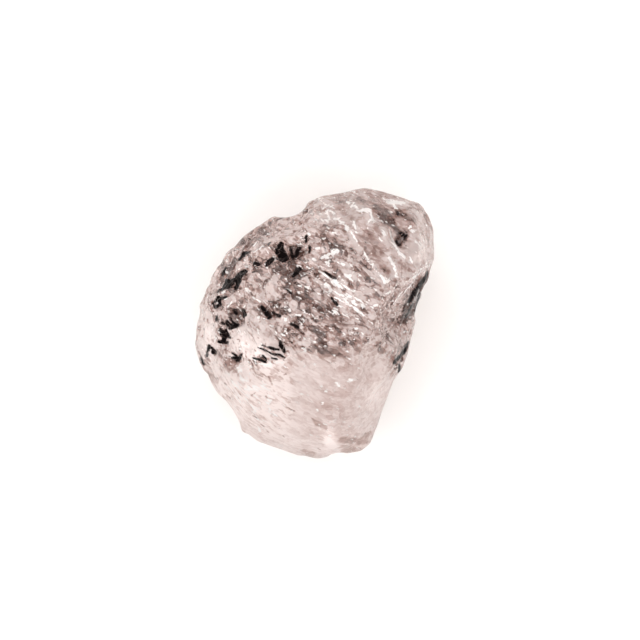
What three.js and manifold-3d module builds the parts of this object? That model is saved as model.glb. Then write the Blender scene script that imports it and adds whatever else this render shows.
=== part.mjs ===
// A loose rough crystal of morganite, the pink beryl, lying on the flat break across its back.
// Millimetres, +Z up. The origin is in the plane of the resting face, under the middle of the outline.
// The stone is 19 mm wide, 21.5 mm long and 15 mm thick, and weighs 7.6 g, or 38 carats.
import * as THREE from "three";
import { ConvexGeometry } from "three/addons/geometries/ConvexGeometry.js";
import { mergeVertices } from "three/addons/utils/BufferGeometryUtils.js";
import Module from "manifold-3d";

const wasm = await Module();
wasm.setup();

// The widest line round the stone, clockwise seen from above, from its northern peak. Each corner is x, y, z.
const GIRDLE = [
  [0.3, 10.05, 8.85],
  [3.9, 10.75, 8.65],
  [4.9, 10.6, 8.65],
  [7.05, 9.95, 8.4],
  [8.25, 9.6, 8.2],
  [9.0, 8.85, 8],
  [9.4, 7.7, 7.8],
  [9.5, 5.2, 7.6],
  [8.9, 3.1, 7.4],
  [7.75, -0.8, 7],
  [7.4, -2.1, 6.8],
  [6.45, -4.3, 6.35],
  [4.9, -8.4, 5.55],
  [4.5, -9.5, 5.35],
  [3.8, -10.1, 5.15],
  [0.3, -10.75, 4.75],
  [-1.1, -10.55, 4.75],
  [-4.4, -9.4, 4.95],
  [-5.7, -8.6, 5.15],
  [-8.35, -4.4, 5.75],
  [-9.15, -2.95, 5.95],
  [-9.5, -1.45, 6.15],
  [-9.1, 1.5, 6.6],
  [-8.45, 3.3, 7],
  [-7.1, 5.5, 7.4],
  [-5.4, 7.1, 7.8],
  [-3.5, 8.35, 8.2],
];

// Points along the ridges and hollows of the upper side, by feature.
const CROWN = {
  longRidge: [
    [1.2, 8.65, 11.2],
    [2.85, 7.3, 12.65],
    [4.35, 4.6, 13.85],
    [5.45, 3.3, 14.3],
  ],
  crossRidge: [
    [6.55, 3.45, 13.55],
    [7.6, 3.75, 12.45],
    [8.3, 4.15, 11.1],
  ],
  eastRidge: [
    [3.0, 9.6, 10.5],
    [4.1, 8.9, 11.7],
    [5.6, 6.7, 13.05],
    [6.2, 5.75, 13.25],
    [6.8, 5.2, 12.95],
  ],
  panel: [[4.0, 6.3, 12.85]],
  knob: [
    [7.7, 7.9, 11.3],
    [8.2, 6.3, 11.6],
    [8.0, 5.0, 12.25],
    [6.7, 6.9, 11.8],
    [7.2, 9.0, 10.15],
    [5.9, 9.4, 10.15],
  ],
  shoulder: [
    [-1.1, 7.3, 11.7],
    [-2.55, 6.45, 11.9],
    [-4.1, 5.9, 11.4],
    [-5.1, 5.45, 10.8],
    [-6.25, 3.3, 10.7],
    [-7.5, 1.7, 10.05],
    [-7.7, -0.8, 9.25],
    [-7.9, -2.2, 8.4],
  ],
  plateau: [
    [-1.1, 3.5, 13.75],
    [1.3, 2.7, 14.3],
    [-3.5, 2.7, 13.05],
    [0.5, 0.4, 15],
    [2.5, -0.4, 15],
    [4.4, 0.0, 14.6],
    [-5.2, 0.4, 12.35],
  ],
  belt: [
    [-2.45, -0.85, 14.2],
    [-0.85, -1.2, 14.7],
    [0.9, -1.6, 15],
    [2.85, -1.8, 14.8],
    [4.8, -1.4, 13.75],
    [6.15, -1.6, 11.7],
  ],
  westFoot: [
    [-1.9, -3.2, 13.45],
    [-1.4, -5.6, 11.5],
    [-4.1, -3.75, 12.35],
    [-6.2, -4.2, 10.5],
    [-4.4, -7.0, 9.25],
    [-2.3, -8.35, 8.85],
  ],
  foot: [
    [0.9, -4.8, 12.95],
    [1.25, -7.15, 11.1],
    [3.25, -4.8, 12.55],
    [3.55, -6.4, 10.9],
    [4.6, -5.2, 10.25],
    [5.45, -4.15, 10.5],
    [6.0, -2.95, 10.7],
    [0.3, -9.1, 8.65],
    [1.75, -9.2, 8.85],
    [3.0, -8.4, 8.85],
    [3.8, -9.1, 7.2],
  ],
};

// The back: the corners of the flat resting face, the long hollow slope that climbs from it to the
// north-west, and the breaks between these and the girdle.
const BACK = {
  rest: [
    [-6.6, -4.4, 0],
    [-6.0, -3.0, 0],
    [-3.4, -2.2, 0],
    [-0.4, 0.3, 0],
    [2.3, 3.4, 0],
    [4.0, 7.0, 0],
    [5.8, 8.0, 0],
    [7.6, 6.4, 0],
    [7.4, 2.4, 0],
    [6.0, -2.6, 0],
    [4.4, -7.4, 0],
    [0.8, -9.0, 0],
    [-2.8, -8.2, 0],
    [-5.4, -6.6, 0],
  ],
  slope: [
    [-5.0, 0.4, 2.5],
    [-5.3, 2.6, 4.6],
    [-2.4, 2.4, 2.4],
    [-3.1, 5.4, 5.2],
    [0.4, 4.8, 2.0],
    [-0.4, 7.2, 5.0],
    [2.2, 6.8, 1.9],
    [-7.9, 0.2, 2.7],
  ],
  breaks: [
    [3.0, 9.2, 2.9],
    [6.0, 9.3, 2.5],
    [8.8, 6.9, 2.6],
    [8.3, 1.9, 2.8],
    [7.0, -2.3, 2.65],
    [5.0, -7.9, 2.25],
    [0.5, -10.1, 1.85],
    [-4.6, -8.5, 2.25],
    [-8.2, -3.6, 2.4],
  ],
};

// Hand-placed pits with steep walls on the upper side: x, y of the middle, length, width, depth, and the
// turn of the long way from +X in degrees.
const PITS = [
  [-2.45, 5.75, 1.8, 1.2, 0.75, 60],
  [-1.35, 5.5, 1.5, 1.2, 0.6, 20],
  [-5.35, 4.7, 2.0, 1.0, 0.6, 55],
  [-6.7, 4.4, 1.7, 0.9, 0.5, 50],
  [-6.4, 3.1, 2.2, 1.3, 0.75, 50],
  [-7.6, 1.7, 1.8, 1.0, 0.6, 75],
  [-6.25, 0.5, 2.5, 1.8, 0.9, 20],
  [-7.1, -0.85, 1.9, 1.2, 0.7, 60],
  [-8.0, -1.9, 1.7, 1.0, 0.5, 80],
  [-6.0, -2.65, 1.7, 0.9, 0.45, -10],
  [-3.65, 1.0, 2.4, 1.0, 0.5, -35],
  [-2.7, -1.6, 3.0, 0.7, 0.45, -25],
  [-3.7, -2.5, 2.6, 0.7, 0.35, -20],
  [-4.9, -1.3, 2.0, 0.8, 0.4, -30],
  [-0.4, 4.4, 2.8, 1.4, 0.6, -40],
  [0.7, 3.2, 2.2, 1.1, 0.5, -45],
  [-3.9, 3.6, 2.4, 1.3, 0.5, 35],
  [6.65, 6.7, 1.9, 1.5, 0.8, 80],
  [8.3, 2.4, 4.6, 0.8, 0.5, 72],
  [7.5, 0.8, 4.2, 0.7, 0.4, 72],
  [7.0, -0.8, 3.4, 0.7, 0.45, 72],
  [6.5, -2.9, 2.6, 0.8, 0.5, 70],
  [3.7, -9.4, 2.2, 1.2, 0.45, 20],
];

// Bites out of the outline: x, y, z of the middle of a ball, its radius across, and its radius up and down.
const BITES = [
  [-2.3, 10.3, 8.6, 2.0, 5.0],
  [-9.7, -8.9, 5.0, 4.0, 7.0],
  [2.0, -11.4, 5.0, 1.25, 2.6],
  [10.75, 1.1, 7.4, 3.0, 4.0],
  [8.3, -4.7, 6.4, 1.6, 3.0],
  [2.0, 12.6, 8.8, 2.3, 4.0],
  [6.6, 11.6, 9.6, 1.7, 1.9],
];

// Chips cover the broken crest and sides, and leave the foot, the panel and the resting face clean. Each
// zone has a count, and a range of chip size and depth.
const CHIPS = {
  crest: { count: 270, size: [0.8, 2.3], depth: [0.12, 0.34] },
  sides: { count: 70, size: [1.6, 4.0], depth: [0.12, 0.34] },
};
const CHIP_SHAPE = [1.3, 0.8, 0.8];
// The outline of the clean panel between the two ridges, seen from above.
const CALM_PANEL = [[1.6, 8.3], [3.9, 4.2], [5.4, 3.5], [6.2, 5.4], [4.0, 8.8], [2.6, 9.2]];
// No chip starts lower than this, so that the resting face keeps its outline.
const REST_MARGIN = 1.6;
// Chips stop south of this line across the stone, y + 0.15 x, and below this slope they count as on a side.
const BELT = { lean: 0.15, reach: -2.4 };
const SIDE_SLOPE = 0.25;
// A pit's cutter is wider than the pit is, because only its lower part goes in, and tall, for steep walls.
const PIT_CUTTER = { spread: 0.6, tall: 1.4 };
const HEART = new THREE.Vector3(0, 0, 6.6);
const FAR = 40;
const SEED = 38;

// Delaunay triangles of points seen from above, as triples of indices that run anticlockwise. They are the
// underside of the hull of the points lifted onto the paraboloid z = x2 + y2.
function delaunay(points) {
  const key = (x, y) => `${x.toFixed(3)} ${y.toFixed(3)}`;
  const index = new Map(points.map(([x, y], i) => [key(x, y), i]));
  const hull = new ConvexGeometry(points.map(([x, y]) => new THREE.Vector3(x, y, x * x + y * y)));
  const place = hull.getAttribute("position");
  const triangles = [];
  for (let corner = 0; corner < place.count; corner += 3) {
    const triple = [0, 1, 2].map((step) => index.get(key(place.getX(corner + step), place.getY(corner + step))));
    const [a, b, c] = triple.map((i) => points[i]);
    const turn = (b[0] - a[0]) * (c[1] - a[1]) - (b[1] - a[1]) * (c[0] - a[0]);
    if (turn < -1e-6) triangles.push([triple[0], triple[2], triple[1]]);
  }
  return triangles;
}

// A closed skin: the crown's points over the girdle, and the back's under it.
function skin() {
  const crown = [...GIRDLE, ...Object.values(CROWN).flat()];
  const back = [...GIRDLE, ...Object.values(BACK).flat()];
  const over = delaunay(crown).map((triple) => triple.map((i) => crown[i]));
  const under = delaunay(back).map((triple) => triple.map((i) => back[i]).reverse());
  const geometry = new THREE.BufferGeometry();
  return geometry.setAttribute("position", new THREE.Float32BufferAttribute([...over, ...under].flat(2), 3));
}

function solidOf(geometry) {
  const bare = new THREE.BufferGeometry().setAttribute("position", geometry.getAttribute("position"));
  if (geometry.index) bare.setIndex(geometry.index);
  const merged = mergeVertices(bare, 1e-4);
  const mesh = new wasm.Mesh({
    numProp: 3,
    vertProperties: merged.attributes.position.array,
    triVerts: new Uint32Array(merged.index.array),
  });
  return new wasm.Manifold(mesh);
}

function geometryOf(solid) {
  const found = solid.getMesh();
  return new THREE.BufferGeometry()
    .setAttribute("position", new THREE.BufferAttribute(new Float32Array(found.vertProperties), 3))
    .setIndex(new THREE.BufferAttribute(new Uint32Array(found.triVerts), 1));
}

// The same numbers on each run: a 32-bit linear congruence, read as 0 to 1.
let state = SEED;
function chance() {
  state = (Math.imul(state, 1664525) + 1013904223) >>> 0;
  return state / 2 ** 32;
}
const between = ([low, high]) => low + (high - low) * chance();
const anyWay = () => new THREE.Vector3(between([-1, 1]), between([-1, 1]), between([-1, 1]));

// Where a ray first meets the bare body, with the outward normal there.
const probe = new THREE.Raycaster();
function meet(target, origin, direction) {
  probe.set(origin, direction);
  const [hit] = probe.intersectObject(target);
  return { point: hit.point, normal: hit.face.normal.clone() };
}

// A twenty-sided cutter turned at random, drawn out to its sizes along, across and out of the surface, its
// long way along "along", its lowest corner "depth" under the point.
function shard({ point, normal }, along, sizes, depth) {
  const turn = anyWay().multiplyScalar(Math.PI);
  const block = new THREE.IcosahedronGeometry(1, 0);
  block.applyMatrix4(new THREE.Matrix4().makeRotationFromEuler(new THREE.Euler(turn.x, turn.y, turn.z)));
  block.scale(...sizes);
  block.computeBoundingBox();
  const across = new THREE.Vector3().crossVectors(normal, along).normalize();
  const flat = new THREE.Vector3().crossVectors(across, normal);
  const lift = -block.boundingBox.min.z - depth;
  const place = new THREE.Matrix4().makeBasis(flat, across, normal);
  return solidOf(block.applyMatrix4(place.setPosition(point.clone().addScaledVector(normal, lift))));
}

function pit(target, [x, y, long, wide, depth, turn]) {
  const spot = meet(target, new THREE.Vector3(x, y, FAR), new THREE.Vector3(0, 0, -1));
  const angle = THREE.MathUtils.degToRad(turn);
  const along = new THREE.Vector3(Math.cos(angle), Math.sin(angle), 0);
  const { spread, tall } = PIT_CUTTER;
  return shard(spot, along, [long * spread, wide * spread, depth * tall], depth);
}

function bite([x, y, z, across, upright]) {
  const ball = new THREE.IcosahedronGeometry(1, 3);
  return solidOf(ball.scale(across, across, upright).translate(x, y, z));
}

// True inside the clean panel between the two ridges, by the count of its edges east of the point.
function onPanel({ x, y }) {
  return CALM_PANEL.reduce((inside, [x1, y1], i) => {
    const [x2, y2] = CALM_PANEL[(i + 1) % CALM_PANEL.length];
    const crosses = y1 > y !== y2 > y && x < x1 + ((y - y1) / (y2 - y1)) * (x2 - x1);
    return crosses ? !inside : inside;
  }, false);
}

function zoneOf({ point, normal }) {
  if (point.z < REST_MARGIN) return "rest";
  if (normal.z < SIDE_SLOPE) return "sides";
  if (onPanel(point)) return "panel";
  return point.y + BELT.lean * point.x > BELT.reach ? "crest" : "foot";
}

// One chip's cutter after another, at random spots, until each zone has its count.
function chips(target) {
  const made = { crest: [], sides: [] };
  const isFull = (zone) => made[zone].length >= CHIPS[zone].count;
  while (!Object.keys(made).every(isFull)) {
    const out = anyWay();
    if (out.lengthSq() > 1 || out.lengthSq() < 0.01) continue;
    out.normalize();
    const spot = meet(target, HEART.clone().addScaledVector(out, FAR), out.clone().negate());
    const zone = zoneOf(spot);
    if (!made[zone] || isFull(zone)) continue;
    const size = between(CHIPS[zone].size);
    const sizes = CHIP_SHAPE.map((share) => share * size);
    made[zone].push(shard(spot, anyWay(), sizes, between(CHIPS[zone].depth)));
  }
  return Object.values(made).flat();
}

const rough = solidOf(skin());
const target = new THREE.Mesh(geometryOf(rough));
const cutters = [...PITS.map((row) => pit(target, row)), ...BITES.map(bite), ...chips(target)];
const body = rough.subtract(wasm.Manifold.union(cutters));

const crystal = new THREE.Mesh(
  geometryOf(body),
  new THREE.MeshStandardMaterial({ color: "#e3cfc8", roughness: 0.15, metalness: 0, transparent: true, opacity: 0.6 }),
);
crystal.name = "morganite_crystal";

const part = new THREE.Group();
part.add(crystal);
export default part;
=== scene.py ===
# %% [markdown]
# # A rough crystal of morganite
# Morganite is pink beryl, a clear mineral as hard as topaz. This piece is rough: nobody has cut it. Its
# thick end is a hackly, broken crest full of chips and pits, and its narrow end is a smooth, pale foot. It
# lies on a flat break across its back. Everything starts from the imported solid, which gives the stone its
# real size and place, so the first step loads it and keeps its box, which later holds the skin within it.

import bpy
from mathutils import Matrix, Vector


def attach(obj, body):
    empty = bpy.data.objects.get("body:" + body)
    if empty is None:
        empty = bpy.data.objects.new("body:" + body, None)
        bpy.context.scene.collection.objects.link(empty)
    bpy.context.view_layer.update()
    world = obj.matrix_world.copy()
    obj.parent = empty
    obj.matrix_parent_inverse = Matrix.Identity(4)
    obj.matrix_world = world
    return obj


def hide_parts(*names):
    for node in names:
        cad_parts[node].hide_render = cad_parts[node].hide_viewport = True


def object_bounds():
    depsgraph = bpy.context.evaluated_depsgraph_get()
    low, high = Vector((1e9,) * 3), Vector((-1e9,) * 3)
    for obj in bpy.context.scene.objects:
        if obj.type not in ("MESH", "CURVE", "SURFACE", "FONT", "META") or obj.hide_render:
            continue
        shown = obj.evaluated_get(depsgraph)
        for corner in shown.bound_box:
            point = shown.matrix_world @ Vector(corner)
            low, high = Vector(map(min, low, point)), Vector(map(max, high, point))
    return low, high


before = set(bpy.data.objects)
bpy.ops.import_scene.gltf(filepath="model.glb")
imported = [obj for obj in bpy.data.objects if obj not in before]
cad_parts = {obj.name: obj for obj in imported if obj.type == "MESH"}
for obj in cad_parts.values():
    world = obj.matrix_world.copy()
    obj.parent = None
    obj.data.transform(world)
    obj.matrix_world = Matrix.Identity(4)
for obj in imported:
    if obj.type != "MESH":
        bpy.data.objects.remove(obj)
cad_low, cad_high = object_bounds()
print("solid's box, metres:", tuple(cad_low), tuple(cad_high))

# %% Tools of the lesson
import math

import bpy
import numpy as np
from mathutils import Vector

MM = 0.001
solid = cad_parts["morganite_crystal"]

# %% [markdown]
# ## A ball of even triangles
# The stone's skin needs far more points than the solid has, and they have to lie evenly, or fine relief turns
# into streaks. A round grid with poles would crowd at its poles. A geodesic ball has no poles: each face of a
# twenty-sided die is a flat triangle, and a point on it is fixed by two whole numbers, how far it lies along
# two of the edges. The points are then pushed out onto the ball. The upper side is what people look at, so
# the directions lean a little upwards, which packs the points closer there.

# %% Geodesic ball
CUTS = 97
LEAN_UP = 0.28


def geodesic_ball(cuts):
    """Points and triangles of a ball. With i and j counted along two edges of a face whose corners are a, b
    and c, a point is (a (cuts - i - j) + b i + c j) / cuts, divided by its own length. Points that two faces
    share are merged."""
    gold = (1 + math.sqrt(5)) / 2
    corners = np.array(
        [(-1, gold, 0), (1, gold, 0), (-1, -gold, 0), (1, -gold, 0), (0, -1, gold), (0, 1, gold),
         (0, -1, -gold), (0, 1, -gold), (gold, 0, -1), (gold, 0, 1), (-gold, 0, -1), (-gold, 0, 1)])
    faces = np.array(
        [(0, 11, 5), (0, 5, 1), (0, 1, 7), (0, 7, 10), (0, 10, 11), (1, 5, 9), (5, 11, 4), (11, 10, 2),
         (10, 7, 6), (7, 1, 8), (3, 9, 4), (3, 4, 2), (3, 2, 6), (3, 6, 8), (3, 8, 9), (4, 9, 5), (2, 4, 11),
         (6, 2, 10), (8, 6, 7), (9, 8, 1)])
    i, j = (grid.ravel() for grid in np.meshgrid(np.arange(cuts + 1), np.arange(cuts + 1), indexing="ij"))
    inside = i + j <= cuts
    i, j = i[inside], j[inside]
    number = np.zeros((cuts + 2, cuts + 2), int)
    number[i, j] = np.arange(len(i))
    a, b, c = (corners[faces[:, k]][:, None] for k in range(3))
    points = (a * (cuts - i - j)[None, :, None] + b * i[None, :, None] + c * j[None, :, None]) / cuts
    up, down = i + j < cuts, i + j < cuts - 1
    one_face = np.concatenate([
        np.stack([number[i, j], number[i + 1, j], number[i, j + 1]], axis=1)[up],
        np.stack([number[i + 1, j], number[np.minimum(i + 1, cuts), np.minimum(j + 1, cuts)],
                  number[i, j + 1]], axis=1)[down]])
    triangles = (one_face[None] + (np.arange(len(faces)) * len(i))[:, None, None]).reshape(-1, 3)
    rounded = np.round(points.reshape(-1, 3) * 1e6).astype(np.int64)
    _, first, merged = np.unique(rounded, axis=0, return_index=True, return_inverse=True)
    ball = points.reshape(-1, 3)[first]
    return ball / np.linalg.norm(ball, axis=1)[:, None], merged.ravel()[triangles]


outward, triangles = geodesic_ball(CUTS)
outward = outward + np.array([0, 0, LEAN_UP])
outward /= np.linalg.norm(outward, axis=1)[:, None]
print(len(outward), "points and", len(triangles), "triangles")

# %% [markdown]
# ## Shrink the ball onto the stone
# The skin has to be the solid's own shape. Each point of the ball could be moved by ray casting in code, but
# the Shrinkwrap modifier does the same thing faster: in Project mode it slides every point along its normal
# until it meets the target. The ball is centred deep in the stone and is wider than it, so the points travel
# inwards. The solid itself is left alone, and a copy with its doubled corners merged is the target.

# %% Wrapped skin
HEART = np.array([0, 0, 6.6])
BALL_RADIUS = 20.0
SAME_PLACE = 1e-7


def in_scene(name, data):
    """A new object in the scene, with this mesh, lamp or camera."""
    made = bpy.data.objects.new(name, data)
    bpy.context.scene.collection.objects.link(made)
    return made


def wrapped(directions, faces):
    """The ball's points where the lines from them to the heart first meet the stone, in millimetres."""
    mesh = bpy.data.meshes.new("ball")
    mesh.from_pydata(((directions * BALL_RADIUS + HEART) * MM).tolist(), [], faces.tolist())
    ball = in_scene("ball", mesh)
    merged = in_scene("merged_solid", solid.data.copy())
    weld = merged.modifiers.new("weld", "WELD")
    weld.merge_threshold = SAME_PLACE
    wrap = ball.modifiers.new("wrap", "SHRINKWRAP")
    wrap.target = merged
    wrap.wrap_method = "PROJECT"
    wrap.use_negative_direction = True
    wrap.use_positive_direction = False
    shrunk = ball.evaluated_get(bpy.context.evaluated_depsgraph_get()).to_mesh()
    places = np.empty(len(directions) * 3)
    shrunk.vertices.foreach_get("co", places)
    for item in (ball, merged):
        data = item.data
        bpy.data.objects.remove(item)
        bpy.data.meshes.remove(data)
    return places.reshape(-1, 3) / MM


skin = wrapped(outward, triangles)
print("skin's box, mm:", skin.min(axis=0).round(2), skin.max(axis=0).round(2))

# %% [markdown]
# ## Smoothing by neighbours
# Where the grid crosses a steep wall of the solid it leaves a saw edge. Taking each point part of the way to
# the mean of its neighbours, again and again, rounds such edges off. That is a Laplacian smooth. With
# weights it can polish the foot for many rounds and touch the broken crest only lightly. The neighbour sums
# are counted over the list of edges, so no loop over points is needed.

# %% Neighbours
edges = np.concatenate([triangles[:, [0, 1]], triangles[:, [1, 2]], triangles[:, [2, 0]]])
neighbours = np.bincount(edges[:, 0], minlength=len(skin))


def to_neighbours(values):
    """From each point to the mean of its neighbours: the sum of theirs over their number, less its own."""
    sums = [np.bincount(edges[:, 0], weights=values[edges[:, 1], axis], minlength=len(values))
            for axis in range(3)]
    return np.stack(sums, axis=1) / neighbours[:, None] - values


def polished(points, rounds, share):
    """The points after some rounds, each of which takes them half their share of the way."""
    for _ in range(rounds):
        points = points + 0.5 * to_neighbours(points) * share[:, None]
    return points


def skin_normals(points):
    """Each point's outward direction: the sum of its triangles' cross products, at length one."""
    a, b, c = (points[triangles[:, k]] for k in range(3))
    cross = np.cross(b - a, c - a)
    total = np.zeros_like(points)
    for corner in range(3):
        for axis in range(3):
            total[:, axis] += np.bincount(triangles[:, corner], weights=cross[:, axis], minlength=len(points))
    return total / np.linalg.norm(total, axis=1)[:, None]


# %% [markdown]
# ## The stone's regions
# A broken crystal isn't rough all over. The crest is hackly, the panel between the two long ridges is a clean
# break, the knob beside it is worn, and the foot is nearly polished. A map of such regions could be painted
# by hand, but a few lines and blots in real millimetres, seen from above, say the same thing and can be moved
# later. Each region is a number from 0 to 1 at every point, with a soft edge.

# %% Soft edges, lines and blots
def soft_step(low, high, values):
    """0 below low, 1 above high, and 3 t t - 2 t t t between them. With high first, it falls instead."""
    t = np.clip((values - low) / (high - low), 0, 1)
    return t * t * (3 - 2 * t)


def beyond(start, towards, x, y):
    """How far each point lies past a start, in a direction of length one."""
    return (x - start[0]) * towards[0] + (y - start[1]) * towards[1]


def beside(start, end, x, y):
    """For each point and its nearest place on a straight piece: how far along the piece that place is, from 0
    to 1, and how far away."""
    (x1, y1), (x2, y2) = start[:2], end[:2]
    length = math.hypot(x2 - x1, y2 - y1)
    along = np.clip(((x - x1) * (x2 - x1) + (y - y1) * (y2 - y1)) / length ** 2, 0, 1)
    return along, np.hypot(x - x1 - along * (x2 - x1), y - y1 - along * (y2 - y1))


def distance_to(line, x, y):
    """How far each point is, seen from above, from the nearest piece of a broken line."""
    return np.min([beside(*ends, x, y)[1] for ends in zip(line, line[1:])], axis=0)


def blots(rows, x, y):
    """The strongest of some oval blots: each is its strength times (1 - r), where r is 1 on its edge."""
    strongest = np.zeros(len(x))
    for cx, cy, long, wide, turn, strength in rows:
        angle = math.radians(turn)
        along = ((x - cx) * math.cos(angle) + (y - cy) * math.sin(angle)) / (long / 2)
        across = ((y - cy) * math.cos(angle) - (x - cx) * math.sin(angle)) / (wide / 2)
        strongest = np.maximum(strongest, strength * np.clip(1 - np.hypot(along, across), 0, 1))
    return strongest


def strokes(rows, x, y):
    """The strongest of some tapering strokes, each a list of (x, y, half width) to run through. It is 1 on a
    stroke's middle line, 0 at its half width, and less than 0 beyond that."""
    strongest = np.full(len(x), -np.inf)
    for row in rows:
        for start, end in zip(row, row[1:]):
            along, away = beside(start, end, x, y)
            strongest = np.maximum(strongest, 1 - away / (start[2] + along * (end[2] - start[2])))
    return strongest


# %% Regions of the stone
BELT_LINE = [(-9, -3.4), (-6, -3.4), (-3, -3.0), (0, -1.9), (5, -1.6), (7, -4.2), (9, -4.2)]
LONG_RIDGE = [(0.3, 10.05), (1.6, 8.6), (2.6, 7.3), (3.86, 5.44), (5.45, 3.3)]
EAST_RIDGE = [(2.6, 9.6), (4.2, 8.9), (4.6, 8.0)]
KNOB_RIDGE = [(5.85, 7.3), (6.16, 6.2), (6.63, 5.44), (7.02, 5.1)]
CROSS_RIDGE = [(5.45, 3.3), (7.4, 3.75), (9.2, 4.7)]
SHORT_RIDGE = [(5.77, 5.15), (6.16, 4.6), (6.22, 4.1), (6.34, 3.75)]
ACROSS_LONG, ACROSS_CROSS = (0.795, 0.607), (-0.35, 0.937)
BELT_EDGE, PANEL_EDGE, CROSS_EDGE = (-0.7, 0.9), (-0.1, 0.35), (-0.2, 0.3)
CREST_EDGE, REST_EDGE = (6.5, 9.0), (0.02, 0.5)

x, y, z = skin.T
belt_x, belt_y = np.array(BELT_LINE).T
crest = soft_step(*BELT_EDGE, y - np.interp(x, belt_x, belt_y))
foot = 1 - crest
knobby = soft_step(*PANEL_EDGE, beyond(LONG_RIDGE[0], ACROSS_LONG, x, y))
knobby *= soft_step(*CROSS_EDGE, beyond(CROSS_RIDGE[0], ACROSS_CROSS, x, y))
upper = soft_step(*CREST_EDGE, z)
off_rest = soft_step(*REST_EDGE, z)
print("crest share", crest.mean().round(3), "knob and panel share", knobby.mean().round(3))

# %% [markdown]
# ## Broken relief
# Beryl has no good cleavage, so it breaks into small curved and flat plates. Bump shading could fake them,
# but light that passes through a clear stone is bent by the real surface, so they have to be shape. Heights
# are drawn at the corners of a lattice and run straight between them, which gives flat plates that meet at
# creases. The plates are drawn out along the stone's grain, and are strong in the middle of the crest only:
# over the panel and the foot they would spoil a clean break. The grooves of the east rim are polished soft,
# which takes a little stone off, so the rim is swelled again, with a fine ripple along it.

# %% Chance on a lattice
STRIDES, SALT_STRIDE = np.array([73856093, 19349663, 83492791]), 7919
ASKEW = np.array([[0.8, 0.36, -0.48], [-0.6, 0.48, -0.64], [0.0, 0.8, 0.6]])


def lattice_chance(cells, salt):
    """A number from 0 to 1 for each cell: its three whole numbers and the salt, each times a prime, are added
    and stirred. Another salt gives other numbers."""
    stirred = ((cells.astype(np.int64) * STRIDES).sum(axis=-1) + salt * SALT_STRIDE).astype(np.uint32)
    for multiplier in (0x2C1B3C6D, 0x297A2D39):
        stirred = (stirred ^ (stirred >> np.uint32(15))) * np.uint32(multiplier)
    return (stirred ^ (stirred >> np.uint32(15))) / 2 ** 32


def soft_noise(points, size, salt):
    """Smooth noise from -1 to 1: the chances at the eight corners of a cell, blended by 3 t t - 2 t t t."""
    scaled = points / size
    base = np.floor(scaled)
    t = scaled - base
    t = t * t * (3 - 2 * t)
    total = np.zeros(len(points))
    for corner in np.ndindex(2, 2, 2):
        weight = np.prod(np.where(corner, t, 1 - t), axis=1)
        total += weight * lattice_chance(base + np.array(corner), salt)
    return total * 2 - 1


def plates(points, size, salt):
    """Flat plates that meet at creases, and a chance for each. Each cube of the lattice is cut into six
    tetrahedra. A height from -1 to 1 is drawn for each corner of a cube, and runs straight between corners:
    with the place inside the cube sorted from its largest share to its smallest, the four weights are the
    steps from 1 down to 0."""
    scaled = points @ ASKEW / size
    base = np.floor(scaled)
    share = scaled - base
    order = np.argsort(-share, axis=1)
    steps = np.column_stack([np.ones(len(points)), np.take_along_axis(share, order, axis=1),
                             np.zeros(len(points))])
    corner, height = base.copy(), np.zeros(len(points))
    for k in range(4):
        height += (steps[:, k] - steps[:, k + 1]) * lattice_chance(corner, salt)
        if k < 3:
            corner[np.arange(len(corner)), order[:, k]] += 1
    return height * 2 - 1, lattice_chance(base * 3 + order, salt + 1)


# %% Shape of the skin
GRAIN_TURN, GRAIN_STRETCH = math.radians(-35), 2.0
LARGE_PLATE, LARGE_HEIGHT = 1.7, 0.3
SMALL_PLATE, SMALL_HEIGHT = 0.75, 0.13
LEVEL_ROUNDS, FOOT_ROUNDS, EDGE_ROUNDS, LAST_ROUNDS, NORMAL_ROUNDS = 2, 60, 14, 3, 25
LEVEL_SLOPE, EAST_LEAN = (0.15, 0.5), 0.24
EAST_EDGE, EAST_SOUTH, EAST_NORTH = (5.6, 6.8), (-4.2, -3.2), (4.4, 3.4)
EDGE_TURN = math.radians(72)
EDGE_SWELL, EDGE_RIPPLE, RIPPLE_LENGTH, RIPPLE_SWAY = 0.17, 0.04, 0.42, 4
SHAKE_SIZE, SHAKE_REACH = 1.1, 0.25
HACKLY_MIDDLE = [(1.2, 2.2, 9.5, 8.0, -20, 1.6)]
OUTER_HACKLE, KNOB_WEAR, FOOT_HACKLE = 0.2, 0.85, 0.08
MOST_PROUD = 0.1

level = soft_step(*LEVEL_SLOPE, skin_normals(polished(skin, LEVEL_ROUNDS, off_rest))[:, 2])
skin = polished(skin, FOOT_ROUNDS, foot * off_rest * level)
east_edge = soft_step(*EAST_EDGE, x - EAST_LEAN * y) * soft_step(*EAST_SOUTH, y) * soft_step(*EAST_NORTH, y)
skin = polished(skin, EDGE_ROUNDS, east_edge * off_rest)
skin = polished(skin, LAST_ROUNDS, off_rest)
normals = skin_normals(polished(skin, NORMAL_ROUNDS, np.ones(len(skin))))
shaken = SHAKE_REACH * np.stack([soft_noise(skin, SHAKE_SIZE, salt) for salt in (1, 2, 3)], axis=1)
along_grain = skin[:, 0] * math.cos(GRAIN_TURN) + skin[:, 1] * math.sin(GRAIN_TURN)
across_grain = skin[:, 1] * math.cos(GRAIN_TURN) - skin[:, 0] * math.sin(GRAIN_TURN)
grain = np.stack([along_grain / GRAIN_STRETCH, across_grain, skin[:, 2]], axis=1) + shaken
middle = np.clip(blots(HACKLY_MIDDLE, x, y), 0, 1)
hackly = crest * upper * (OUTER_HACKLE + (1 - OUTER_HACKLE) * middle) * (1 - KNOB_WEAR * knobby)
hackly += FOOT_HACKLE * foot * upper
large_height, _ = plates(grain, LARGE_PLATE, 20)
small_height, small_chance = plates(grain, SMALL_PLATE, 40)
relief = hackly * (LARGE_HEIGHT * large_height + SMALL_HEIGHT * small_height)
across_edge = skin[:, 1] * math.cos(EDGE_TURN) - skin[:, 0] * math.sin(EDGE_TURN)
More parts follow.
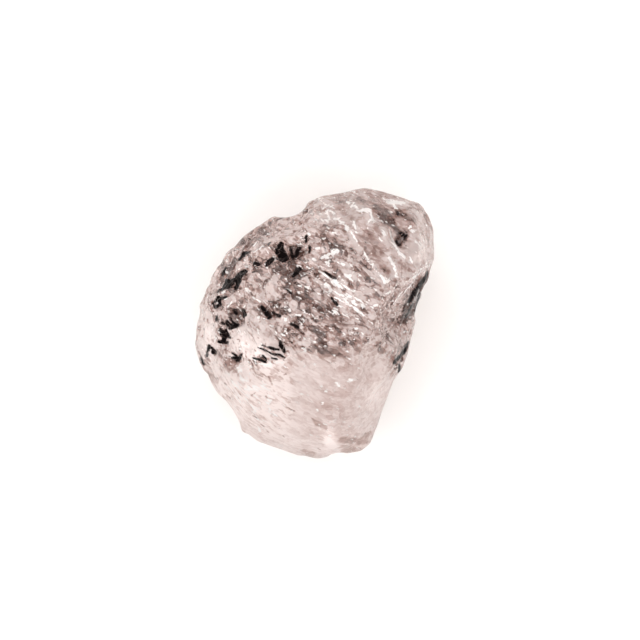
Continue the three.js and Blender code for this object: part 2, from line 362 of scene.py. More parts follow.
ripple = EDGE_RIPPLE * np.sin(across_edge * 2 * math.pi / RIPPLE_LENGTH + RIPPLE_SWAY * shaken[:, 0])
relief += east_edge * (EDGE_SWELL + ripple)
skin = skin + normals * (relief * off_rest)[:, None]
skin[:, 2] = np.maximum(skin[:, 2], 0)
skin = np.clip(skin, np.array(cad_low) / MM - MOST_PROUD, np.array(cad_high) / MM + MOST_PROUD)
print("relief, mm: from", relief.min().round(3), "to", relief.max().round(3))

# %% [markdown]
# ## Where the finish changes
# The stone's looks change from place to place, so the material needs to know where it is. Eight marks are
# written on the points for it: the painted black shade, tea, mottled, the white of crushed stone and painted
# glints, fleck, milk, frost and rim. Painting them by hand would work too, but marks worked out from places
# in millimetres stay right when the shape changes. Most are drawn as ovals and strokes seen from above.
# Outlines that smooth would look drawn, so the places are first shaken a little with noise, which tears every
# outline the way a break does. The marks belong to the broken upper side: below the stone's widest line they
# fade into clear beryl along a ragged fringe.

# %% Upper side, two ends and torn outlines
FRINGE_SIZES, FINE_FRINGE, RAGGED_SIZE = (1.6, 0.6), 0.5, 0.4
TOP_SLOPE, TOP_HEIGHT, UPWARD = (-0.6, 0.25), (2.6, 6.4), (-0.1, 0.1)
SLOPE_FRINGE, HEIGHT_FRINGE, END_FRINGE = 0.35, 1.2, 0.8
ROUGH_END = (-2.0, 1.2)
TEARS = [(0.4, 1.1, (8, 9)), (0.22, 0.45, (10, 11))]

x, y, z = skin.T
fringe = soft_noise(skin, FRINGE_SIZES[0], 12) + FINE_FRINGE * soft_noise(skin, FRINGE_SIZES[1], 13)
top = soft_step(*TOP_SLOPE, normals[:, 2] + SLOPE_FRINGE * fringe)
top *= soft_step(*TOP_HEIGHT, z + HEIGHT_FRINGE * fringe)
facing_up = soft_step(*UPWARD, normals[:, 2])
rough_end = soft_step(*ROUGH_END, y - np.interp(x, belt_x, belt_y) + END_FRINGE * fringe)
smooth_end = 1 - rough_end
torn = sum(reach * np.stack([soft_noise(skin, size, salt) for salt in salts]) for reach, size, salts in TEARS)
ragged = soft_noise(skin, RAGGED_SIZE, 14)


def torn_by(share):
    """The places seen from above, each moved by a share of its tear."""
    return x + share * torn[0], y + share * torn[1]


print("upper side", top.mean().round(3), "places shaken by up to, mm:", np.abs(torn).max().round(2))

# %% [markdown]
# ## Painted black shade
# Seen from above, the stone's pits and the inner faces that mirror the dim room look nearly black. That
# black is painted shade, laid on the upper side as a nearly black film. Broad faint ovals sprinkle it over
# the pits, and strokes lay it solid: clusters down the west side, a fan of thin curved cracks below them, and
# slanting streaks along the east edge. Each stroke is a few places and half widths, so it can bend and taper.

# %% Painted black shade
DARK_PITS = [
    (-0.9, 4.2, 3.0, 1.6, -40, 0.45),
    (-2.4, 4.6, 2.8, 1.2, 10, 0.5),
    (-4.6, 4.4, 2.4, 0.7, 25, 0.5),
    (-6.2, 0.55, 2.4, 2.0, -10, 0.7),
    (-1.5, 0.0, 2.4, 0.8, -25, 0.6),
    (7.6, 2.0, 4.6, 1.0, 62, 0.8),
    (6.9, 6.5, 1.5, 1.4, 60, 0.6),
]
DARK_STROKES = [
    [(-2.55, 6.28, 0.24), (-2.63, 5.86, 0.46), (-2.58, 5.44, 0.64), (-2.21, 5.07, 0.4)],
    [(-1.79, 5.86, 0.2), (-1.63, 5.23, 0.26)],
    [(-1.16, 5.81, 0.26), (-1.42, 5.28, 0.3)],
    [(-3.56, 6.18, 0.1), (-3.4, 6.36, 0.1)],
    [(-3.24, 5.1, 0.28), (-3.63, 4.66, 0.24)],
    [(-4.53, 4.8, 0.2), (-4.15, 4.74, 0.18)],
    [(-5.11, 5.67, 0.14), (-5.48, 5.47, 0.28), (-5.8, 5.15, 0.16)],
    [(-6.9, 4.44, 0.12), (-7.11, 3.97, 0.18)],
    [(-5.37, 4.2, 0.24), (-5.74, 3.91, 0.34), (-5.9, 3.5, 0.48), (-6.06, 2.75, 0.2)],
    [(-6.22, 3.44, 0.36), (-6.58, 3.18, 0.5), (-6.85, 3.02, 0.32)],
    [(-7.01, 2.86, 0.2), (-7.58, 2.59, 0.12)],
    [(-6.74, 2.23, 0.1), (-7.17, 2.01, 0.16)],
    [(-7.48, 2.01, 0.26), (-7.37, 1.6, 0.3), (-7.69, 1.38, 0.22)],
    [(-7.53, 1.91, 0.2), (-7.96, 1.6, 0.16)],
    [(-6.6, 0.6, 0.12), (-6.42, 0.25, 0.16), (-6.1, -0.05, 0.2), (-5.85, -0.1, 0.12)],
    [(-6.25, 1.15, 0.14), (-6.05, 0.9, 0.18)],
    [(-5.45, 1.05, 0.16), (-5.32, 0.7, 0.18)],
    [(-6.79, 0.28, 0.2), (-6.48, -0.2, 0.34), (-6.0, -0.16, 0.16)],
    [(-7.58, 0.65, 0.08), (-7.61, 0.28, 0.14)],
    [(-7.16, 0.16, 0.14), (-7.08, 0.08, 0.14)],
    [(-7.32, -0.38, 0.24), (-6.9, -1.09, 0.3)],
    [(-6.9, -0.48, 0.22), (-6.5, -1.0, 0.16)],
    [(-7.43, -1.36, 0.18), (-7.1, -1.3, 0.28), (-6.72, -1.38, 0.18)],
    [(-8.27, -1.62, 0.16), (-8.37, -2.41, 0.18)],
    [(-7.98, -1.78, 0.16), (-7.86, -2.17, 0.24)],
    [(-8.95, -2.7, 0.12), (-8.72, -3.2, 0.1)],
    [(-3.95, -1.56, 0.07), (-3.53, -1.7, 0.11), (-3.16, -1.78, 0.17), (-2.7, -1.86, 0.16)],
    [(-2.53, -1.3, 0.12), (-2.47, -1.62, 0.28), (-2.22, -2.04, 0.12)],
    [(-4.24, -1.75, 0.07), (-3.74, -1.94, 0.1), (-3.32, -2.12, 0.13), (-3.0, -2.2, 0.18),
     (-2.69, -2.23, 0.11), (-2.21, -2.46, 0.08)],
    [(-4.64, -2.54, 0.07), (-4.11, -2.7, 0.2), (-3.69, -2.88, 0.07)],
    [(-3.89, -2.38, 0.14), (-3.65, -2.68, 0.1)],
    [(-3.29, -2.52, 0.08), (-3.05, -2.58, 0.14), (-2.85, -2.62, 0.07)],
    [(-4.68, -2.75, 0.06), (-4.42, -2.92, 0.09)],
    [(-6.32, -2.12, 0.07), (-6.02, -2.4, 0.09)],
    [(-6.3, -2.55, 0.1), (-5.95, -2.72, 0.28), (-5.6, -2.38, 0.09)],
    [(-4.0, 1.33, 0.24), (-3.42, 0.65, 0.28)],
    [(-3.16, 1.01, 0.14), (-2.69, 0.65, 0.2)],
    [(-1.74, 0.02, 0.18), (-1.21, -0.09, 0.18)],
    [(-1.11, 4.33, 0.26), (-1.63, 3.7, 0.24)],
    [(-0.37, 5.95, 0.12), (-0.37, 5.49, 0.1)],
    [(-0.63, 6.81, 0.1), (-0.69, 6.28, 0.12)],
    [(-2.16, 2.65, 0.08), (-1.74, 2.43, 0.12)],
    [(0.8, 4.02, 0.06), (1.66, 3.52, 0.12)],
    [(1.34, 2.09, 0.1), (1.74, 1.54, 0.12)],
    [(6.7, 7.05, 0.24), (6.98, 6.82, 0.28)],
    [(6.32, 6.45, 0.1), (6.48, 6.1, 0.16)],
    [(6.52, 8.7, 0.12), (6.6, 8.5, 0.14)],
    [(8.93, 4.07, 0.12), (8.22, 2.96, 0.22)],
    [(8.3, 3.2, 0.12), (7.43, 1.86, 0.26)],
    [(8.37, 2.41, 0.12), (7.98, 1.07, 0.18)],
    [(7.8, 1.6, 0.1), (7.2, 0.6, 0.2)],
    [(7.43, -1.38, 0.14), (6.95, -2.25, 0.2), (6.24, -2.96, 0.14)],
    [(6.64, -3.12, 0.14), (6.68, -3.75, 0.16)],
]
CLEAN_TEAR, CREST_BLACK_SPECKS, FOOT_BLACK_SPECKS = 0.2, 0.09, 0.05
STROKE_SHADE, ROUGH_DARK = 3.2, 0.25

# A low, even level of the black mark leaves scattered small black specks where the patterns bite into it.
black_speck_level = CREST_BLACK_SPECKS * rough_end + FOOT_BLACK_SPECKS * smooth_end
# Painted shade: the black of the pits and of the inner faces that mirror the dim room.
painted_shade = np.maximum(np.minimum(blots(DARK_PITS, *torn_by(1)), 1), black_speck_level)
solid_painted_shade = strokes(DARK_STROKES, *torn_by(CLEAN_TEAR)) + ROUGH_DARK * ragged
painted_shade = np.maximum(painted_shade, STROKE_SHADE * solid_painted_shade * facing_up) * top
print("film on", (painted_shade > 0.5).mean().round(3), "of the points")

# %% [markdown]
# ## Tea-brown haze
# Iron also stains a thin layer under the surface the colour of weak tea. It gathers where the crest is most
# broken. Wide ovals give its drift across the stone, patches give it the edges of single plates, and a few
# short dashes mark the healed cracks of the foot. Three faint ovals on the east side of the foot are painted
# shade: they darken the flank where the light falls weaker. A narrow brown halo of painted shade also lies
# around the painted black, read off its own strokes.

# %% Brown stains and painted shade
TEA_STAINS_AND_SHADE = [
    (-1.8, 4.4, 4.6, 3.4, -20, 0.62),
    (-1.8, 2.8, 4.0, 3.2, -30, 0.6),
    (1.8, 6.2, 4.0, 1.9, -25, 0.35),
    (0.6, 0.3, 7.4, 3.2, -8, 0.45),
    (-2.6, 0.8, 4.4, 2.4, -30, 0.35),
    (-4.6, 6.9, 5.0, 1.6, 38, 0.6),
    (4.4, 5.6, 5.5, 3.0, -55, 0.25),
    (6.0, 8.6, 4.2, 2.6, -35, 0.4),
    (2.6, 9.6, 3.4, 1.6, -20, 0.3),
    (7.5, 1.8, 2.4, 6.0, -22, 0.5),
    (6.4, -2.6, 1.8, 3.6, -25, 0.16),
    (-6.7, 3.9, 3.4, 2.0, 50, 0.52),
    (1.2, -2.2, 4.6, 2.2, -10, 0.24),
    # The next three ovals are painted shade on the east side of the foot.
    (1.8, -6.4, 8.0, 7.0, -45, 0.18),
    (3.6, -3.8, 5.0, 3.4, -30, 0.14),
    (0.6, -8.9, 3.4, 2.2, 0, 0.16),
]
BROWN_PATCHES = [
    [(-2.6, 4.2, 0.45), (-2.1, 4.0, 0.45)],
    [(-1.9, 3.3, 0.4), (-2.2, 2.7, 0.35)],
    [(-3.2, 1.8, 0.45), (-2.9, 1.0, 0.45)],
    [(-1.9, 2.2, 0.3), (-1.1, 1.8, 0.4)],
    [(-6.4, 1.0, 0.5), (-5.8, 0.1, 0.55)],
    [(-7.2, 5.2, 0.22), (-6.8, 4.0, 0.22)],
    [(1.5, 6.6, 0.45), (2.4, 6.0, 0.45)],
    [(1.2, 4.9, 0.4), (1.6, 4.2, 0.4)],
    [(2.9, 5.7, 0.2), (3.1, 5.4, 0.22)],
    [(1.42, 2.96, 0.12), (2.29, 2.49, 0.2)],
    [(1.1, 0.6, 0.28), (1.5, 0.3, 0.28)],
    [(4.4, 0.3, 0.3), (4.1, -1.0, 0.4)],
    [(5.0, -1.6, 0.32), (5.4, -2.0, 0.32)],
    [(0.3, -1.2, 0.3), (0.8, -1.5, 0.32)],
    [(1.7, -0.6, 0.4), (2.7, -1.5, 0.45)],
    [(-1.0, -1.6, 0.25), (-0.2, -1.9, 0.3)],
    [(2.1, 9.7, 0.3), (3.3, 9.9, 0.3), (4.2, 9.4, 0.25)],
    [(4.6, 9.3, 0.4), (5.4, 8.5, 0.5), (6.2, 7.6, 0.35)],
    [(6.6, 8.6, 0.3), (7.6, 8.2, 0.3)],
    [(2.9, 7.3, 0.1), (3.5, 6.3, 0.22), (4.1, 5.4, 0.14)],
    [(5.0, 4.3, 0.35), (5.7, 4.0, 0.3)],
    [(6.7, 4.7, 0.3), (7.1, 4.4, 0.25)],
    [(6.9, 8.9, 0.12), (8.5, 9.1, 0.1), (9.3, 7.4, 0.12)],
    [(2.4, -9.1, 0.4), (4.0, -9.2, 0.45)],
    [(-0.1, -7.2, 0.1), (0.35, -7.7, 0.28), (1.0, -8.02, 0.14)],
    [(0.3, -1.7, 0.5), (2.4, -2.2, 0.55)],
    [(4.1, -8.9, 0.22), (4.5, -8.8, 0.25)],
    [(1.7, -10.4, 0.12), (2.5, -9.95, 0.16), (4.2, -10.3, 0.14)],
    [(-8.2, -3.9, 0.35), (-7.8, -4.6, 0.3)],
    [(-2.1, -0.8, 0.35), (-1.2, -1.7, 0.35)],
    [(-0.4, -0.3, 0.3), (0.6, -0.9, 0.3)],
    [(2.2, -9.7, 0.3), (3.6, -9.9, 0.3)],
    [(-1.0, -10.0, 0.3), (0.4, -10.6, 0.3)],
]
DARK_PATCHES = [
    [(-1.6, 4.6, 0.4), (-1.0, 3.9, 0.45)],
    [(-2.8, 4.4, 0.35), (-2.2, 3.9, 0.35)],
    [(-2.0, 3.3, 0.3), (-2.2, 2.8, 0.25)],
    [(-3.1, 1.7, 0.25), (-2.6, 0.8, 0.25)],
    [(-6.4, 0.9, 0.85), (-5.9, 0.4, 0.9)],
    [(-6.0, 5.0, 0.24), (-6.5, 4.4, 0.28)],
    [(-4.4, 4.7, 0.35), (-4.1, 4.4, 0.3)],
    [(6.6, 7.0, 0.55), (6.95, 6.8, 0.55)],
    [(6.3, 6.5, 0.3), (6.5, 6.1, 0.32)],
    [(6.0, 7.8, 0.4), (6.4, 7.3, 0.4)],
    [(4.9, 8.6, 0.25), (5.6, 8.0, 0.3)],
    [(6.5, 8.8, 0.16), (6.6, 8.5, 0.2)],
    [(5.2, 8.3, 0.14), (5.5, 8.0, 0.22)],
    [(8.9, 3.9, 0.4), (7.9, 2.0, 0.7), (7.1, 0.3, 0.5)],
    [(2.1, 6.0, 0.16), (2.5, 5.9, 0.2)],
]
FOOT_DASHES = [
    [(-7.03, -5.49, 0.06), (-6.6, -5.89, 0.08)],
    [(-6.16, -4.94, 0.05), (-5.7, -5.41, 0.07)],
    [(-5.9, -5.65, 0.07), (-5.8, -5.8, 0.08)],
    [(-4.82, -7.15, 0.05), (-4.27, -7.54, 0.08)],
    [(-4.19, -7.86, 0.06), (-3.95, -8.02, 0.07)],
    [(-3.75, -8.36, 0.06), (-3.6, -8.5, 0.06)],
    [(-4.82, -5.53, 0.12), (-4.55, -5.3, 0.08)],
    [(-3.7, -5.65, 0.09), (-3.5, -5.85, 0.08)],
    [(-3.5, -3.99, 0.1), (-3.24, -4.54, 0.1)],
    [(-2.3, -3.87, 0.08), (-2.15, -3.8, 0.1)],
    [(-7.0, -4.6, 0.12), (-6.85, -4.7, 0.12)],
    [(-2.1, -6.36, 0.05), (-1.5, -6.7, 0.08)],
    [(4.0, -8.7, 0.1), (4.4, -8.6, 0.14)],
    [(-2.5, -8.7, 0.05), (-2.4, -8.8, 0.05)],
    [(0.3, -9.8, 0.05), (0.5, -9.95, 0.07)],
]
BROWN_DEPTH, DARK_DEPTH, DASH_DEPTH = 0.38, 0.98, 0.6
STAIN_TEAR, STAIN_EDGE = 0.6, (0, 0.6)
SHADE_HALO_DEPTH, SHADE_HALO_REACH = 0.3, 0.9

brown = BROWN_DEPTH * soft_step(*STAIN_EDGE, strokes(BROWN_PATCHES, *torn_by(STAIN_TEAR)))
dark_brown = DARK_DEPTH * soft_step(*STAIN_EDGE, strokes(DARK_PATCHES, *torn_by(STAIN_TEAR)))
dashes = DASH_DEPTH * soft_step(*STAIN_EDGE, strokes(FOOT_DASHES, *torn_by(CLEAN_TEAR)))
# Painted shade: a narrow brown halo around the strokes of painted black.
shade_halo = SHADE_HALO_DEPTH * soft_step(-SHADE_HALO_REACH, 0, solid_painted_shade)
brown = np.max([brown, dark_brown, dashes, shade_halo], axis=0) * facing_up
print("brown patches on", (brown > 0.1).mean().round(3), "of the points")

# %% [markdown]
# ## Pale places
# Between the stains there are clean plates. The west rim, the facets beside the long ridge and the knob are
# the palest. On the west flank the paleness is partly painted light, which lightens the side that faces the
# stronger south-west panels. What is left when they are taken from the stains is the mark that the colour
# follows, from 0, which is pale, to 1, which is brown.

# %% Pale plates and the tea mark
PALE_CLOUDS = [
    # The blots on the west flank are partly painted light.
    (-4.6, 2.2, 3.4, 1.8, -25, 0.3),
    (-4.8, -1.2, 7.0, 4.4, -30, 0.6),
    (-8.6, -0.6, 3.0, 8.0, 10, 0.6),
    (7.9, 5.6, 3.8, 3.4, 20, 0.5),
    (0.6, 8.9, 3.0, 2.6, -50, 0.4),
    (3.0, 1.8, 4.6, 3.6, -35, 0.25),
    (-8.2, -1.6, 3.0, 5.0, 0, 0.4),
    (-5.0, -4.6, 5.0, 3.4, -30, 0.12),
]
PALE_PATCHES = [
    [(1.0, 8.9, 0.35), (1.2, 8.0, 0.3)],
    [(1.7, 8.4, 0.24), (2.4, 7.5, 0.24), (3.3, 6.2, 0.18), (3.8, 5.45, 0.2)],
    [(3.8, 5.5, 0.16), (4.65, 4.15, 0.13), (5.4, 3.45, 0.14)],
    [(5.8, 7.3, 0.12), (6.16, 6.17, 0.18), (6.63, 5.44, 0.18), (7.02, 5.1, 0.12)],
    [(-6.2, -1.2, 0.5), (-4.6, -1.7, 0.5)],
    [(-5.4, -3.1, 0.45), (-4.7, -3.5, 0.45)],
    [(3.0, 7.8, 0.2), (3.6, 7.0, 0.2)],
    [(5.1, 7.4, 0.2), (5.5, 6.9, 0.3), (6.0, 6.1, 0.16)],
    [(5.4, 9.9, 0.2), (6.2, 9.5, 0.48), (7.2, 9.4, 0.34)],
    [(7.9, 9.1, 0.3), (8.4, 8.4, 0.42)],
    [(1.0, -9.1, 0.45), (1.6, -9.6, 0.35)],
    [(4.2, 8.5, 0.25), (4.1, 7.6, 0.22)],
    [(-6.1, 4.2, 0.12), (-5.5, 4.8, 0.18), (-4.8, 5.3, 0.14)],
    [(-7.5, 1.0, 0.14), (-7.3, 0.6, 0.2)],
    [(-5.6, -0.4, 0.35), (-4.3, -1.0, 0.35)],
    [(6.0, 3.1, 0.15), (7.6, 3.5, 0.2), (8.6, 4.3, 0.1)],
    [(-4.1, -3.1, 0.2), (-2.4, -3.0, 0.3)],
    [(-6.6, -3.9, 0.35), (-5.2, -4.4, 0.35)],
]
RIDGES = [LONG_RIDGE, EAST_RIDGE, KNOB_RIDGE, CROSS_RIDGE, SHORT_RIDGE]
RIDGE_PALE, RIDGE_BAND = 0.25, (0.7, 0.1)
PALE_DEPTH, PALE_TEAR, PALE_EDGE = 0.35, 0.4, (0, 0.5)
CREST_TEA, FOOT_TEA, WEST_TEA, BACK_TEA = 0.3, 0.1, 0.09, 0.12
WEST_EDGE, WEST_TEAR, WEST_NORTH = (-1.3, -2.1), 0.3, (-10.5, -5.5)

ridge_distance = np.min([distance_to(line, x, y) for line in RIDGES], axis=0)
pale = np.maximum(blots(PALE_CLOUDS, *torn_by(1)), RIDGE_PALE * soft_step(*RIDGE_BAND, ridge_distance))
pale_plates = PALE_DEPTH * soft_step(*PALE_EDGE, strokes(PALE_PATCHES, *torn_by(PALE_TEAR)))
pale = np.maximum(pale, pale_plates)
west_foot = smooth_end * soft_step(*WEST_EDGE, torn_by(WEST_TEAR)[0]) * soft_step(*WEST_NORTH, y)
tea = CREST_TEA * rough_end + FOOT_TEA * (smooth_end - west_foot) + WEST_TEA * west_foot
tea += blots(TEA_STAINS_AND_SHADE, *torn_by(1)) + brown - pale
tea = BACK_TEA + (tea - BACK_TEA) * top
print("tea: from", tea.min().round(2), "to", tea.max().round(2), "mean", tea.mean().round(2))

# %% [markdown]
# ## Crushed white and painted glints
# Beryl is brittle. Where an edge has been knocked, it is crushed to a powder that looks white. The same white
# also paints the glints of ridges and small facets that mirror the lamps. So the thin broken lines along the
# ridges, the ragged chips and the scatter of small flecks that follow the grain are partly crushed stone and
# partly painted highlights. The ridge lines wander by a tenth of a millimetre, because a line without a
# tremor looks ruled.

# %% Chips, flecks and painted glints
# Strokes of white: partly crushed chips, partly painted glints.
WHITE_CHIPS_AND_GLINTS = [
    [(2.57, 7.6, 0.08), (3.3, 6.35, 0.07), (3.9, 5.35, 0.06), (4.5, 4.4, 0.06), (5.37, 3.44, 0.12)],
    [(6.05, 6.6, 0.06), (6.3, 5.95, 0.16), (6.7, 5.38, 0.12), (7.02, 5.1, 0.06)],
    [(5.9, 4.95, 0.05), (6.16, 4.6, 0.13), (6.23, 4.08, 0.1), (6.34, 3.75, 0.14)],
    [(0.63, 5.1, 0.14), (1.2, 5.4, 0.2), (1.8, 5.6, 0.26)],
    [(0.1, 5.8, 0.14), (0.4, 5.85, 0.14)],
    [(-0.1, 5.0, 0.16), (0.05, 4.9, 0.16)],
    [(2.1, 4.72, 0.14), (2.3, 4.62, 0.14)],
    [(0.3, 4.1, 0.08), (1.3, 3.5, 0.12)],
    [(1.4, 3.3, 0.14), (1.8, 3.15, 0.1)],
    [(1.9, 3.2, 0.06), (2.7, 2.7, 0.1)],
    [(0.85, 3.1, 0.16), (1.15, 2.9, 0.1)],
    [(1.2, 2.75, 0.06), (2.0, 2.3, 0.1)],
    [(2.6, 2.1, 0.12), (2.85, 2.05, 0.18)],
    [(2.75, 2.62, 0.08), (3.1, 2.5, 0.16)],
    [(1.6, 2.1, 0.05), (2.5, 1.55, 0.09), (2.9, 1.4, 0.06)],
    [(3.0, 1.3, 0.12), (3.35, 1.05, 0.18), (3.8, 0.7, 0.07)],
    [(1.45, 1.25, 0.12), (1.75, 1.2, 0.12)],
    [(3.15, 0.45, 0.12), (3.35, 0.4, 0.12)],
    [(3.18, -0.36, 0.12), (3.32, -0.34, 0.12)],
    [(5.4, 2.35, 0.1), (5.8, 2.52, 0.12)],
    [(6.0, 1.4, 0.03), (6.8, 2.5, 0.06)],
    [(6.85, 2.2, 0.03), (7.6, 3.3, 0.05)],
    [(7.0, 3.15, 0.03), (8.2, 3.95, 0.05)],
    [(4.65, 1.5, 0.12), (4.85, 1.52, 0.12)],
    [(5.45, 3.25, 0.18), (5.75, 3.4, 0.16)],
    [(2.53, 9.6, 0.16), (2.9, 9.3, 0.12), (3.45, 9.05, 0.1)],
    [(3.3, 8.85, 0.1), (4.1, 8.95, 0.3), (4.4, 8.75, 0.16)],
    [(4.4, 8.7, 0.1), (4.4, 8.15, 0.22), (4.15, 7.9, 0.12)],
    [(4.15, 7.9, 0.08), (4.12, 7.35, 0.1)],
    [(1.05, 8.75, 0.16), (1.2, 8.2, 0.14)],
    [(3.05, 7.95, 0.1), (3.2, 7.3, 0.12)],
    [(5.4, 9.9, 0.14), (6.2, 9.55, 0.34), (7.0, 9.5, 0.22)],
    [(6.2, 9.5, 0.3), (6.45, 9.05, 0.12)],
    [(7.3, 7.5, 0.06), (7.6, 7.15, 0.16)],
    [(8.2, 7.0, 0.1), (8.3, 6.8, 0.06)],
    [(8.45, 6.55, 0.1), (8.55, 6.45, 0.08)],
    [(5.3, 7.1, 0.1), (5.5, 6.85, 0.1)],
    [(-5.2, 2.7, 0.12), (-4.95, 2.55, 0.12)],
    [(-4.7, 2.05, 0.08), (-4.1, 1.8, 0.12)],
    [(-6.8, 1.3, 0.08), (-6.4, 1.7, 0.1)],
    [(-7.15, 2.5, 0.14), (-6.95, 2.55, 0.1)],
    [(-6.95, 1.98, 0.08), (-6.75, 2.05, 0.1)],
    [(-4.7, 6.15, 0.1), (-4.55, 6.35, 0.1)],
    [(-4.2, 5.85, 0.08), (-3.95, 6.1, 0.08)],
    [(-1.4, 0.72, 0.08), (-1.05, 0.68, 0.12)],
    [(-4.2, -3.05, 0.08), (-3.6, -3.1, 0.1)],
    [(-2.9, -2.9, 0.09), (-2.2, -2.85, 0.14)],
    [(-6.05, -5.6, 0.1), (-5.75, -6.0, 0.12)],
    [(-4.95, -6.2, 0.1), (-4.6, -6.75, 0.1)],
    [(-3.55, -6.4, 0.08), (-3.4, -6.65, 0.08)],
    [(-4.45, -8.1, 0.12), (-4.3, -8.45, 0.12)],
    [(-4.6, -7.4, 0.06), (-4.15, -7.6, 0.08)],
    [(-2.5, -5.8, 0.08), (-2.1, -6.2, 0.08)],
    [(2.8, -4.2, 0.12), (2.9, -4.28, 0.12)],
    [(1.9, -4.66, 0.12), (2.05, -4.72, 0.12)],
    [(0.85, -5.2, 0.08), (1.0, -5.28, 0.08)],
    [(3.5, -6.25, 0.09), (3.62, -6.32, 0.09)],
]
FLECK_FIELDS = [
    (1.8, 2.6, 9.0, 6.0, -35, 0.14),
    (1.8, 8.2, 5.0, 3.0, -50, 0.15),
    (2.2, 2.4, 5.4, 1.8, -40, 0.22),
    (1.2, 5.3, 2.0, 1.0, 10, 0.22),
    (-2.0, 2.4, 10.0, 8.0, -30, 0.06),
    (-5.0, -5.0, 7.0, 5.5, -40, 0.22),
    (-6.8, 2.0, 2.6, 3.0, 0, 0.1),
]
STROKE_WHITE, ROUGH_WHITE = 1.3, 0.3
RIDGE_LINE, RIDGE_WHITE, RIDGE_GAPS = (0.18, 0), 0.3, 0.35
WANDER_SIZE, WANDER_REACH = 0.7, 0.11
GAP_SIZE, GAP_EDGE = 0.8, (-0.3, 0.2)
FEWER_ON_FOOT, FEWER_ON_KNOB, FEWER_BELOW = 0.06, 0.05, 0.1

wander = WANDER_REACH * np.stack([soft_noise(skin, WANDER_SIZE, salt) for salt in (5, 6)], axis=1)
broken = soft_step(*GAP_EDGE, soft_noise(skin, GAP_SIZE, 7))
on_ridge = np.max([soft_step(*RIDGE_LINE, distance_to(line, x + wander[:, 0], y + wander[:, 1]))
                   for line in RIDGES], axis=0)
chips_and_glints = STROKE_WHITE * (strokes(WHITE_CHIPS_AND_GLINTS, *torn_by(CLEAN_TEAR)) + ROUGH_WHITE * ragged)
# Crushed white and painted highlights, along the ridges and in the chips.
crushed_and_glint = np.maximum((RIDGE_WHITE + RIDGE_GAPS * broken) * on_ridge, chips_and_glints) * top * facing_up
fleck = blots(FLECK_FIELDS, x, y) - FEWER_ON_FOOT * smooth_end - FEWER_ON_KNOB * knobby
fleck -= FEWER_BELOW * (1 - top)
print("crushed on", (crushed_and_glint > 0.5).mean().round(4), "of the points")

# %% [markdown]
# ## Milk, frost and mottle
# Tiny cracks just under the surface scatter light, so the upper side isn't water-clear but milky. On the west
# flank the milk is partly painted light: there it also whitens the side that the stronger south-west panels
# light. The darkest stains hide what lies under them too, so they count as milk. Frost is how matt the break
# is: glassy on some plates, satin on the others, and soft on the worn foot. Mottle is how strongly the fine
# patterns of the material show, from full on the crest to faint on the foot. The rim mark tells where the
# streaks turn to follow the long edges of the stone.

# %% Milk, frost, mottle and rim
MILKY_AND_LIT = [
    # The two west blots are partly painted light on the lit flank.
    (-5.0, -1.9, 5.4, 3.6, -30, 0.55),
    (-8.3, -0.8, 2.4, 6.0, 10, 0.45),
    (1.3, -8.8, 2.4, 2.0, -60, 0.3),
    (4.8, -5.2, 3.6, 2.0, 60, 0.2),
]
CREST_RIND, FOOT_RIND, WEST_MILK_AND_LIGHT, BACK_RIND = 0.45, 0.6, 0.12, 0.2
MOST_MILK, STAIN_COVER = 0.9, 0.85
SATIN, GLASSY, FOOT_FROST, GLASSY_PLATES = 0.16, 0.04, 0.42, 0.25
MOTTLE, FOOT_MOTTLE, WEST_MOTTLE, PANEL_MOTTLE, BACK_MOTTLE = 1.0, 0.22, 0.26, 0.45, 0.35
WEST_RIM, WEST_LEAN = (-5.6, -6.6), 0.3

milk = CREST_RIND * rough_end + FOOT_RIND * smooth_end + WEST_MILK_AND_LIGHT * west_foot + blots(MILKY_AND_LIT, x, y)
milk = np.clip(BACK_RIND + (milk - BACK_RIND) * top, 0, MOST_MILK)
milk = np.maximum(milk, STAIN_COVER * dark_brown / DARK_DEPTH * top * facing_up)
glassy = (small_chance < GLASSY_PLATES) * 1.0
frost = crest * (SATIN + (GLASSY - SATIN) * glassy) + foot * FOOT_FROST
mottled = MOTTLE * rough_end + FOOT_MOTTLE * smooth_end + WEST_MOTTLE * west_foot
mottled += (PANEL_MOTTLE - mottled) * knobby
mottled = BACK_MOTTLE + (mottled - BACK_MOTTLE) * top
rim = np.maximum(east_edge, soft_step(*WEST_RIM, x - WEST_LEAN * y) * crest)
marks = {"painted_shade": painted_shade, "tea": tea, "mottled": mottled, "crushed_and_glint": crushed_and_glint, "fleck": fleck, "milk": milk,
         "frost": frost, "rim": rim}
print("means:", {name: float(values.mean().round(3)) for name, values in marks.items()})

# %% [markdown]
# ## The crystal's own mesh
# The points and triangles become one closed mesh, at the origin, with its place in its points. The marks are
# stored on it as point attributes.

# %% Crystal mesh
mesh = bpy.data.meshes.new("crystal_skin")
mesh.from_pydata((skin * MM).tolist(), [], triangles.tolist())
for name, values in marks.items():
    mesh.attributes.new(name, "FLOAT", "POINT").data.foreach_set("value", values.astype(np.float32))
mesh.update()
crystal = in_scene("crystal_skin", mesh)
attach(crystal, "root")
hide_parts("morganite_crystal")
print("crystal:", len(mesh.polygons), "triangles")

# %% [markdown]
# ## Pink beryl
# Beryl bends light about 1.58 times as much as air does, and morganite soaks up a little green and blue on
# the way through. So the body is one see-through Principled shader, and a Volume Absorption gives the colour,
# which deepens with the stone's thickness as in the real thing. A pink surface colour alone would look like
# painted glass. The upper side needs more: under its broken surface lies a thin rind, milky with tiny cracks
# and stained by iron. The shader's Transmission Weight shares out the light between the clear body and that
# rind, and a Color Ramp gives the rind its colour. First come some helpers, since a node takes several lines
# to make, set and link.

# %% Node helpers
def new_material(name):
    """A material with an empty node tree, and that tree."""
    made = bpy.data.materials.new(name)
    made.use_nodes = True
    made.node_tree.nodes.clear()
    return made, made.node_tree


